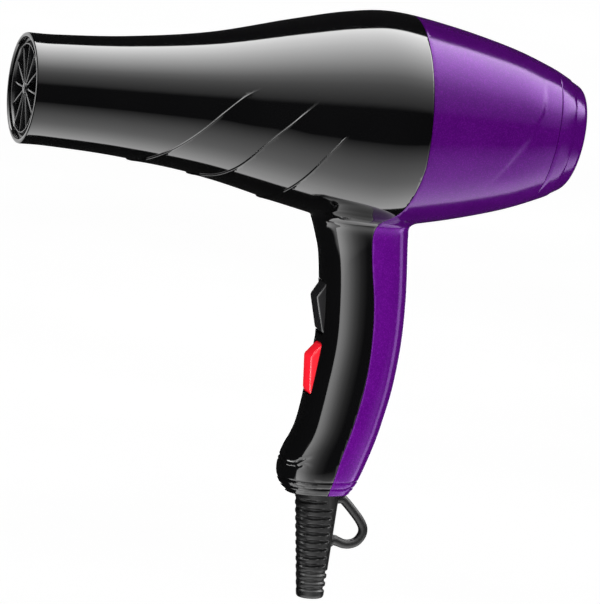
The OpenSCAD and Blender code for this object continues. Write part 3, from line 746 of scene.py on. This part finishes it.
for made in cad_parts.values():
    for index, part in enumerate(made.data.materials):
        if part is not None:
            made.data.materials[index] = LOOKS.get(part.name.split(".")[0], part)


# ------ the two case halves

# Rounded edges: of the outlet as [place on the axis, radius], of the base as [height, inset]
NOSE_LIP = [[0.7, 23.5], [0.3, 23.42], [0.1, 23.2], [0.0, 22.85], [0.0, 22.1], [0.1, 21.8], [0.35, 21.62],
            [0.7, 21.58]]
BASE_LIP = [[0.45, 0.2], [0.12, 0.6], [0.0, 1.1]]
BASE_HOLE_R = 9.75
COLLAR_ROOM = 10.2


def rim_points(p):
    """Points that carry an open edge of the skin round to its inner side."""
    if abs(base_level(np.array([p]))[0] - BASE_RIM) > 0.06:
        return []
    out = np.array([p[0] - BASE_X, p[1]])
    reach = math.hypot(*out)
    rings = [(level, reach - inset) for level, inset in BASE_LIP]
    made = []
    for level, radius in rings + [(0.0, BASE_HOLE_R), (BASE_RIM, BASE_HOLE_R)]:
        x, y = out * radius / reach
        made.append([BASE_X + x, y, BASE_Z + x * BASE_SLOPE + level])
    return made


def case_half(outer, inner, faces):
    """A closed shell: the outer skin, the inner skin and every edge between them."""
    used = sorted({i for f in faces for i in f})
    new = {old: k for k, old in enumerate(used)}
    count = len(used)
    points = [outer[i] for i in used] + [inner[i] for i in used]
    faces = [[new[i] for i in f] for f in faces]
    edges = dict.fromkeys((a, b) for f in faces for a, b in zip(f, f[1:] + f[:1]))
    border = [e for e in edges if (e[1], e[0]) not in edges]
    middle = {}
    for a in {i for e in border for i in e}:
        added = rim_points(points[a])
        middle[a] = list(range(len(points), len(points) + len(added)))
        points += [np.array(q) for q in added]
    made = faces + [[i + count for i in f][::-1] for f in faces]
    for a, b in border:
        up, down = [a] + middle[a] + [a + count], [b] + middle[b] + [b + count]
        if len(up) == len(down):
            for i in range(len(up) - 1):
                made.append([down[i], up[i], up[i + 1], down[i + 1]])
        else:
            made.append(up + down[::-1])
    return np.array(points), made


flat, case_faces = case_surface()
centre = np.array([flat[f].mean(0) for f in case_faces])
rear = seam_level(centre) >= 0
slope = gradient(flat)
slope /= np.linalg.norm(slope, axis=1)[:, None]
skin = flat + slope * relief(flat)[:, None]

# The walls of the rocker slots go straight in, clear of the rockers
inward = slope.copy()
for name in ROCKERS:
    inward[:, 1] *= ease(known(slot_level(flat, name), 9), 0.0, 2.0)
back = flat - inward * WALL

# The inner skin stays clear of the sleeve's collar
reach = np.hypot(back[:, 0] - BASE_X, back[:, 1])
crowded = (base_level(flat) < 4) & (reach < COLLAR_ROOM)
push = np.where(crowded, COLLAR_ROOM / np.maximum(reach, 1e-6), 1.0)
back[:, 0] = BASE_X + (back[:, 0] - BASE_X) * push
back[:, 1] *= push
back[flat[:, 0] < 0.75, 0] = 0.75

below = centre[:, 2] < CREASE_Z
for name, part, slot_name, replaced in (
        ("front_case_skin", ~rear & ~below, "gloss_black", ["front_shell"]),
        ("front_grip_skin", ~rear & below, "gloss_black", []),
        ("rear_case_skin", rear & ~below, "metallic_purple", ["rear_shell"]),
        ("rear_grip_skin", rear & below, "metallic_purple", [])):
    shell = case_half(skin, back, [f for f, mine in zip(case_faces, part) if mine])
    add_piece(name, shell, "root", slot_name, replaced, 48)


# ------ tail cap and its woven mesh

def side_ring(s, offset, columns):
    """A ring on the body's surface in the tail's tilted plane."""
    points = []
    for k in range(columns):
        turn = 2 * math.pi * k / columns
        x = s
        for _ in range(5):
            r = float(body_radius(x)) + offset
            x = s + r * math.sin(turn) * TAIL_TILT
        points.append([x, r * math.cos(turn), r * math.sin(turn)])
    return points


def flat_ring(s, radius, columns):
    turns = [2 * math.pi * k / columns for k in range(columns)]
    return [[s + radius * math.sin(t) * TAIL_TILT, radius * math.cos(t), radius * math.sin(t)] for t in turns]


def tail_cap():
    """The cap's stepped skin, its spigot, and the guard of rings and spokes in its face."""
    columns = 144
    rings = [side_ring(CAP_SEAM_X + s, offset, columns) for s, offset in
             ((8.5, -WALL), (4, -WALL), (0.15, -WALL), (0.15, -0.5), (0.35, -0.15), (0.7, 0.0),
              (2.5, 0.0), (4.5, 0.0), (6.5, 0.0))]
    rings += [side_ring(CAP_STEP_X + s, offset, columns) for s, offset in
              ((-0.4, 0.0), (-0.1, -0.12), (0, -CAP_STEP), (0.6, -CAP_STEP), (2.0, -CAP_STEP))]
    rings.append(side_ring(TAIL_X - CAP_ROUND, -CAP_STEP, columns))
    for turn in np.radians(np.arange(1, 9) * 90 / 8):
        place = TAIL_X - CAP_ROUND * (1 - math.sin(turn))
        rings.append(side_ring(place, -CAP_STEP - 1.5 * (1 - math.cos(turn)), columns))
    rings += [flat_ring(TAIL_X, FACE_R + 0.2, columns), flat_ring(TAIL_X - 0.1, FACE_R, columns),
              flat_ring(TAIL_X - 5.0, FACE_R, columns), flat_ring(TAIL_X - 5.5, FACE_R + 0.6, columns)]
    points = [p for ring in rings for p in ring]
    parts = [outward(points, ring_faces(len(rings), columns, True))]
    spigot = [[-7, 25.6], [-7, 24.0], [5.5, 24.0], [5.5, 24.6], [3.6, 25.9], [3.0, 25.6]]
    ring = [p for s, r in spigot for p in flat_ring(CAP_SEAM_X + s, r, columns)]
    parts.append(outward(ring, ring_faces(len(spigot), columns, True)))
    for radius in (4.5, 9.2, 13.9):
        section = [[-1.9, -0.7], [-1.9, 0.7], [-0.3, 0.7], [-0.08, 0.5], [0, 0.2], [0, -0.2],
                   [-0.08, -0.5], [-0.3, -0.7]]
        ring = [p for s, r in section for p in flat_ring(TAIL_X - 0.1 + s, radius + r, 96)]
        parts.append(outward(ring, ring_faces(len(section), 96, True)))
    for k in range(8):
        turn = math.radians(45 * k)
        start = 4.9 if k % 4 else 0.0
        bar, bar_faces = bevelled(rectangle(start, FACE_R + 0.4, 0.7), 1.7, 0.3, 2)
        y = bar[:, 0] * math.cos(turn) - bar[:, 1] * math.sin(turn)
        z = bar[:, 0] * math.sin(turn) + bar[:, 1] * math.cos(turn)
        parts.append((np.stack([TAIL_X - 1.05 + bar[:, 2] + z * TAIL_TILT, y, z], 1), bar_faces))
    return joined(parts)


add_piece("tail_cap_skin", tail_cap(), "tail_cap", "metallic_purple", ["rear_cap"])


def woven_mesh(radius, place, pitch, wire):
    """Plain weave: every wire goes over and under the wires across it."""
    parts = []
    count = int(radius / pitch)
    for across in (False, True):
        for i in range(-count, count + 1):
            offset = i * pitch
            half = math.sqrt(max(radius ** 2 - offset ** 2, 0.01)) - 0.2
            if half < 1:
                continue
            along = np.linspace(-half, half, max(int(half * 2 / (pitch / 4)), 4))
            lift = wire * 0.55 * np.cos(math.pi * along / pitch) * (-1) ** (i + across)
            points = []
            for t, h in zip(along, lift):
                for k in range(6):
                    turn = math.radians(60 * k)
                    side = offset + wire / 2 * math.cos(turn)
                    deep = h + wire / 2 * math.sin(turn)
                    y, z = (side, t) if across else (t, side)
                    points.append([place + deep + z * TAIL_TILT, y, z])
            ends = [list(range(6)), list(range(len(points) - 6, len(points)))]
            faces = ring_faces(len(along), 6, False) + ends
            parts.append(outward(points, faces))
    edge = [[0.5, -0.9], [0.9, -0.5], [0.9, 0.3], [0.5, 0.6],
            [-0.5, 0.6], [-0.9, 0.3], [-0.9, -0.5], [-0.5, -0.9]]
    ring = [p for s, r in edge for p in flat_ring(place + s * 0.6, radius - 0.6 + r, 96)]
    parts.append(outward(ring, ring_faces(len(edge), 96, True)))
    return joined(parts)


weave = woven_mesh(19.6, 239.0, 1.2, 0.42)
add_piece("woven_inlet_mesh", weave, "tail_cap", "dark_mesh", ["inlet_mesh"])


# ------ outlet grille

def outlet_grille():
    """A ring with thin blades that run in to a small domed hub."""
    profile = [[1.7, 21.52], [2.2, 21.15], [2.55, 20.6], [2.6, 20.0], [2.45, 19.5], [2.1, 19.2], [1.5, 19.12],
               [0.95, 19.05], [0.75, 18.85], [0.8, 18.55], [1.1, 18.4], [8.0, 18.3], [8.4, 18.5], [8.4, 21.3],
               [8.1, 21.52]]
    parts = [lathe_x(profile, 144)]
    for k in range(12):
        turn = math.radians(30 * k)
        bar, bar_faces = bevelled(rectangle(1.2, 18.7, 3.0), 0.75, 0.22, 2)
        y = bar[:, 0] * math.cos(turn) - bar[:, 2] * math.sin(turn)
        z = bar[:, 0] * math.sin(turn) + bar[:, 2] * math.cos(turn)
        parts.append((np.stack([4.2 + bar[:, 1], y, z], 1), bar_faces))
    dome = [[7.2, 0.35], [7.2, 2.5], [1.3, 2.6], [0.95, 2.4], [0.75, 1.9], [0.65, 1.1], [0.62, 0.35]]
    parts.append(lathe_x(dome, 48))
    return joined(parts)


add_piece("outlet_rim", lathe_x(NOSE_LIP, 160), "root", "gloss_black", sharp=30)
add_piece("blade_grille", outlet_grille(), "root", "grille_black", ["outlet_grille"], 30)


# ------ rockers

def rocker_key(name):
    """One rocker: its side outline made thick across the handle and set at its pivot."""
    points, faces = bevelled([[z, x] for x, z in ROCKER_OUTLINE], ROCKER_W, 0.95, 4)
    (px, pz), lean = ROCKERS[name]
    turn = math.radians(lean)
    x, z, y = points[:, 1], points[:, 0], points[:, 2]
    placed = np.stack([px + x * math.cos(turn) + z * math.sin(turn), y,
                       pz - x * math.sin(turn) + z * math.cos(turn)], 1)
    return outward(placed, faces)


for name, slot_name in (("upper", "rocker_black"), ("lower", "rocker_red")):
    body = name + "_rocker"
    key = add_piece(body + "_key", rocker_key(name), body, slot_name, [body], 40)
    key.visible_glossy = False


# ------ ribbed sleeve with its hanging loop

def boot_place(x, side, z):
    """Points given about the sleeve's own axis, which leans with the base."""
    turn = -math.atan(BASE_SLOPE)
    return np.stack([BASE_X + x * math.cos(turn) + z * math.sin(turn), side,
                     BASE_Z - x * math.sin(turn) + z * math.cos(turn)], -1)


def sleeve_radius(depth, turn):
    """Outer radius of the sleeve: rounded ribs between grooves that are narrower towards the spine."""
    taper = BOOT_TOP_R + (BOOT_END_R - BOOT_TOP_R) * depth / BOOT_L
    radius = taper
    for k in range(GROOVES):
        gap = abs(depth - (FIRST_RIB + k * RIB_PITCH))
        if gap > RIB_PITCH:
            continue
        stops_short = k < OPEN_GROOVES
        open_half = (98 if k == 0 else 122) if stops_short else 400
        share = min(abs(turn) / open_half, 1.2)
        narrow = 1 - 0.55 * share ** 2 if stops_short else 1.0
        past = max(abs(turn) - open_half, 0) * math.radians(1) * taper
        level = math.hypot(gap / narrow, past) - 0.95
        sink = (0.35 + 0.95 * float(ease(abs(turn), 14, 48))) * (0.4 + 0.6 * narrow)
        radius -= sink * float(1 - ease(level, -0.6, 0.3)) * (1.0 if stops_short else 0.6)
    end = max(depth - (BOOT_L - SLEEVE_END_ROUND), 0) / SLEEVE_END_ROUND
    return radius - 1.3 * (1 - math.sqrt(max(1 - end * end, 0)))


def ribbed_sleeve():
    """The sleeve with its collar inside the handle, and the hanging loop."""
    columns = 120
    turns = np.linspace(-180, 180, columns, endpoint=False)
    rings = [(np.full(columns, radius), height) for radius, height in COLLAR]
    round_from = BOOT_L - SLEEVE_END_ROUND
    for depth in [0.0, *np.arange(0.15, round_from, 0.23), *np.linspace(round_from, BOOT_L, 8)]:
        rings.append((np.array([sleeve_radius(depth, t) for t in turns]), -depth))
    rings.append((np.full(columns, CORD_HOLE_R + 0.25), -BOOT_L))
    rings.append((np.full(columns, CORD_HOLE_R), -BOOT_L + 0.3))
    points = []
    for radius, height in rings:
        across = -radius * np.cos(np.radians(turns))
        side = radius * np.sin(np.radians(turns))
        points.append(boot_place(across, side, np.full(columns, height)))
    sleeve = outward(np.concatenate(points), ring_faces(len(rings), columns, True))
    route = smooth(LOOP_ROUTE, 8)
    steps = np.concatenate([[0], np.cumsum(np.linalg.norm(np.diff(route, axis=0), axis=1))])
    from_end = np.minimum(steps, steps[-1] - steps)
    radii = LOOP_R + 0.9 * np.exp(-((from_end / 5.0) ** 2))
    return joined([sleeve, tube(route, radii, 20)])


add_piece("ribbed_sleeve", ribbed_sleeve(), "root", "soft_rubber", ["strain_relief"], 35)


# ------ camera, light and floor

# Turn about Z, rise above the level and roll of the view, and the width that it shows
YAW, TILT, ROLL = (math.radians(a) for a in (17.0, 8.0, 7.1))
VIEW_W = 254.5
LENS, SENSOR = 800.0, 36.0
FLOOR_DROP = 0.45
AIM = Vector((133.0, 0.0, -81.2)) * MM

right = Vector((math.cos(YAW), -math.sin(YAW), 0.0))
up = Vector((math.sin(YAW) * math.sin(TILT), math.cos(YAW) * math.sin(TILT), math.cos(TILT)))
toward = right.cross(up)
image_right = right * math.cos(ROLL) + up * math.sin(ROLL)
image_up = up * math.cos(ROLL) - right * math.sin(ROLL)
camera_data = bpy.data.cameras.new("view_camera")
camera_data.lens = LENS
camera_data.sensor_width = SENSOR
camera_data.sensor_fit = "HORIZONTAL"
camera_data.clip_end = 100.0
camera = bpy.data.objects.new("view_camera", camera_data)
bpy.context.scene.collection.objects.link(camera)
place = AIM + toward * (VIEW_W * MM * LENS / SENSOR)
rows = [[image_right[i], image_up[i], toward[i], place[i]] for i in range(3)]
camera.matrix_world = Matrix(rows + [[0, 0, 0, 1]])
bpy.context.scene.camera = camera

floor_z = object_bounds()[0][2] - FLOOR_DROP
mesh = bpy.data.meshes.new("studio_floor")
mesh.from_pydata([(x, y, floor_z) for x, y in ((-30, -30), (30, -30), (30, 60), (-30, 60))], [],
                 [(0, 1, 2, 3)])
floor_look = plain_finish(
    "studio_paper", (0.9, 0.9, 0.9), (0.93, 0.93, 0.93), (0.8, 0.95), scale=40.0, bump=0.02)
floor_inputs = floor_look.node_tree.nodes["Principled BSDF"].inputs
floor_inputs["Emission Color"].default_value = (1, 1, 1, 1)
floor_inputs["Emission Strength"].default_value = 0.3
floor_inputs["Specular IOR Level"].default_value = 0.0
mesh.materials.append(floor_look)
floor = bpy.data.objects.new("studio_floor", mesh)
bpy.context.scene.collection.objects.link(floor)
floor.visible_glossy = False
floor.visible_shadow = False
floor.visible_diffuse = False

# Light panels: [angle above the front, brightness] for the body, [angle to the left, brightness] for the grip
TOP_PANEL = [[-180, 0], [17.5, 0], [18, 0.05], [23.7, 0.5], [35.7, 1.0], [43.7, 1.45], [53.7, 2.5],
             [63.7, 4.4], [75.7, 6.7], [87.7, 8.6], [99.7, 10], [113.7, 10.4], [118.5, 10.4],
             [119.2, 0], [180, 0]]
LOW_PANEL = [[-180, 0], [-104.8, 0], [-104, 4.0], [-88.3, 3.8], [-76.3, 3.1], [-64.3, 2.3], [-52.3, 1.85],
             [-42.3, 1.45], [-32.3, 0.93], [-19.6, 0.2], [-19, 0], [180, 0]]
LEFT_PANEL = [[-12, 0.0], [-1, 0.34], [9, 0.93], [19, 1.8], [31, 3.1], [43, 4.2], [51.5, 4.3]]
TOP_LEVEL = 12.0


def panel(tree, angle, stops):
    """Brightness of a light panel as a function of an angle in degrees."""
    position = span(tree, calc(tree, "DIVIDE", calc(tree, "ADD", angle, 180.0), 360.0), 0.0, 1.0)
    made = node(tree, "ShaderNodeValToRGB", {"Fac": position})
    ramp = made.color_ramp
    ramp.interpolation = "LINEAR"
    while len(ramp.elements) < len(stops):
        ramp.elements.new(0.5)
    for element, (at, level) in zip(ramp.elements, stops):
        element.position = (at + 180) / 360
        share = level / TOP_LEVEL
        element.color = (share, share, share, 1)
    grey = node(tree, "ShaderNodeSeparateColor", {0: made.outputs[0]})
    return calc(tree, "MULTIPLY", grey.outputs[0], TOP_LEVEL)


def window(tree, value, low, high, soft):
    """One between low and high, falling to zero over soft outside them."""
    rise = node(tree, "ShaderNodeMapRange", {"Value": value, "From Min": low - soft, "From Max": low})
    fall = node(tree, "ShaderNodeMapRange", {"Value": value, "From Min": high, "From Max": high + soft,
                                             "To Min": 1.0, "To Max": 0.0})
    return calc(tree, "MULTIPLY", rise.outputs["Result"], fall.outputs["Result"])


world = bpy.data.worlds.new("studio_light")
bpy.context.scene.world = world
world.use_nodes = True
tree = world.node_tree
generated = node(tree, "ShaderNodeTexCoord").outputs["Generated"]
direction = node(tree, "ShaderNodeSeparateXYZ", {0: generated}).outputs
toward_view = calc(tree, "MULTIPLY", direction[1], -1.0)
pitch = calc(tree, "MULTIPLY", calc(tree, "ARCTAN2", direction[2], toward_view), 180 / math.pi)
length_mask = window(tree, direction[0], -0.72, 0.88, 0.06)
strips = calc(tree, "ADD", panel(tree, pitch, TOP_PANEL), panel(tree, pitch, LOW_PANEL))
strips = calc(tree, "MULTIPLY", strips, length_mask)
glossy = calc(tree, "ADD", strips, 0.015)
ray = node(tree, "ShaderNodeLightPath").outputs
facing = calc(tree, "MULTIPLY", calc(tree, "MAXIMUM", toward_view, 0.0), 0.75)
fill = calc(tree, "ADD", facing, 0.6)
shown = calc(tree, "ADD", calc(tree, "MULTIPLY", glossy, ray["Is Glossy Ray"]),
             calc(tree, "ADD", calc(tree, "MULTIPLY", fill, ray["Is Diffuse Ray"]),
                  calc(tree, "MULTIPLY", ray["Is Camera Ray"], 0.95)))
background = tree.nodes["Background"]
tree.links.new(shown, background.inputs["Strength"])
background.inputs["Color"].default_value = (1, 1, 1, 1)

world.cycles.sampling_method = "NONE"


def soft_box(name, swing, tilt, half_angle, height, level, stops, lit):
    """A flat panel three metres away that lights only the named pieces."""
    reach = 3.0
    width = 2 * reach * math.tan(math.radians(half_angle))
    data = bpy.data.lights.new(name, "AREA")
    data.shape = "RECTANGLE"
    data.size, data.size_y = width, height
    data.energy = level * math.pi * width * height
    data.use_nodes = True
    tree = data.node_tree
    parametric = node(tree, "ShaderNodeNewGeometry").outputs["Parametric"]
    across = node(tree, "ShaderNodeSeparateXYZ", {0: parametric})
    ramp = node(tree, "ShaderNodeValToRGB", {"Fac": across.outputs[0]})
    while len(ramp.color_ramp.elements) < len(stops):
        ramp.color_ramp.elements.new(0.5)
    for element, (at, share) in zip(ramp.color_ramp.elements, stops):
        element.position = at
        element.color = (share, share, share, 1)
    tree.links.new(ramp.outputs[0], tree.nodes["Emission"].inputs["Color"])
    light = bpy.data.objects.new(name, data)
    bpy.context.scene.collection.objects.link(light)
    turn, rise = math.radians(swing), math.radians(tilt)
    place = Vector((-math.sin(turn) * math.cos(rise), -math.cos(turn) * math.cos(rise), math.sin(rise)))
    light.location = place * reach + Vector((0.15, 0.0, -0.1))
    light.rotation_euler = place.to_track_quat("Z", "Y").to_euler()
    lit_only = bpy.data.collections.new(name + "_lights")
    for piece in lit:
        lit_only.objects.link(bpy.data.objects[piece])
    light.light_linking.receiver_collection = lit_only


def panel_stops(stops, middle, half_angle, level):
    edge = math.tan(math.radians(half_angle))
    made = [(0.5 + 0.5 * math.tan(math.radians(at - middle)) / edge, share / level) for at, share in stops]
    return [(1 - at, share) for at, share in made][::-1]


GRIPS = ["front_grip_skin", "rear_grip_skin", "upper_rocker_key", "lower_rocker_key"]
soft_box("left_soft_box", 19.8, -14, 31.9, 4.6, 4.3, panel_stops(LEFT_PANEL, 19.8, 31.9, 4.3), GRIPS)
soft_box("rocker_soft_box", 72, 0, 14, 3.0, 9.0, [(0, 1), (1, 1)], ["upper_rocker_key", "lower_rocker_key"])
soft_box("right_soft_box", -87, -6, 7, 3.0, 3.0, [(0, 1), (1, 1)], GRIPS)
soft_box("back_soft_box", -155, -8, 18, 3.0, 2.5, [(0, 1), (1, 1)], GRIPS)
soft_box("sleeve_soft_box", 15, -10, 30, 4.0, 1.5, [(0, 1), (1, 0.2)], ["ribbed_sleeve"])
soft_box("step_soft_box", 66, 22, 21, 2.4, 6.0, [(0, 1), (1, 1)], ["front_case_skin"])
soft_box("grille_soft_box", 162, -6, 24, 3.0, 1.3, [(0, 1), (1, 1)], ["blade_grille", "outlet_rim"])

bpy.context.scene.view_settings.view_transform = "Standard"
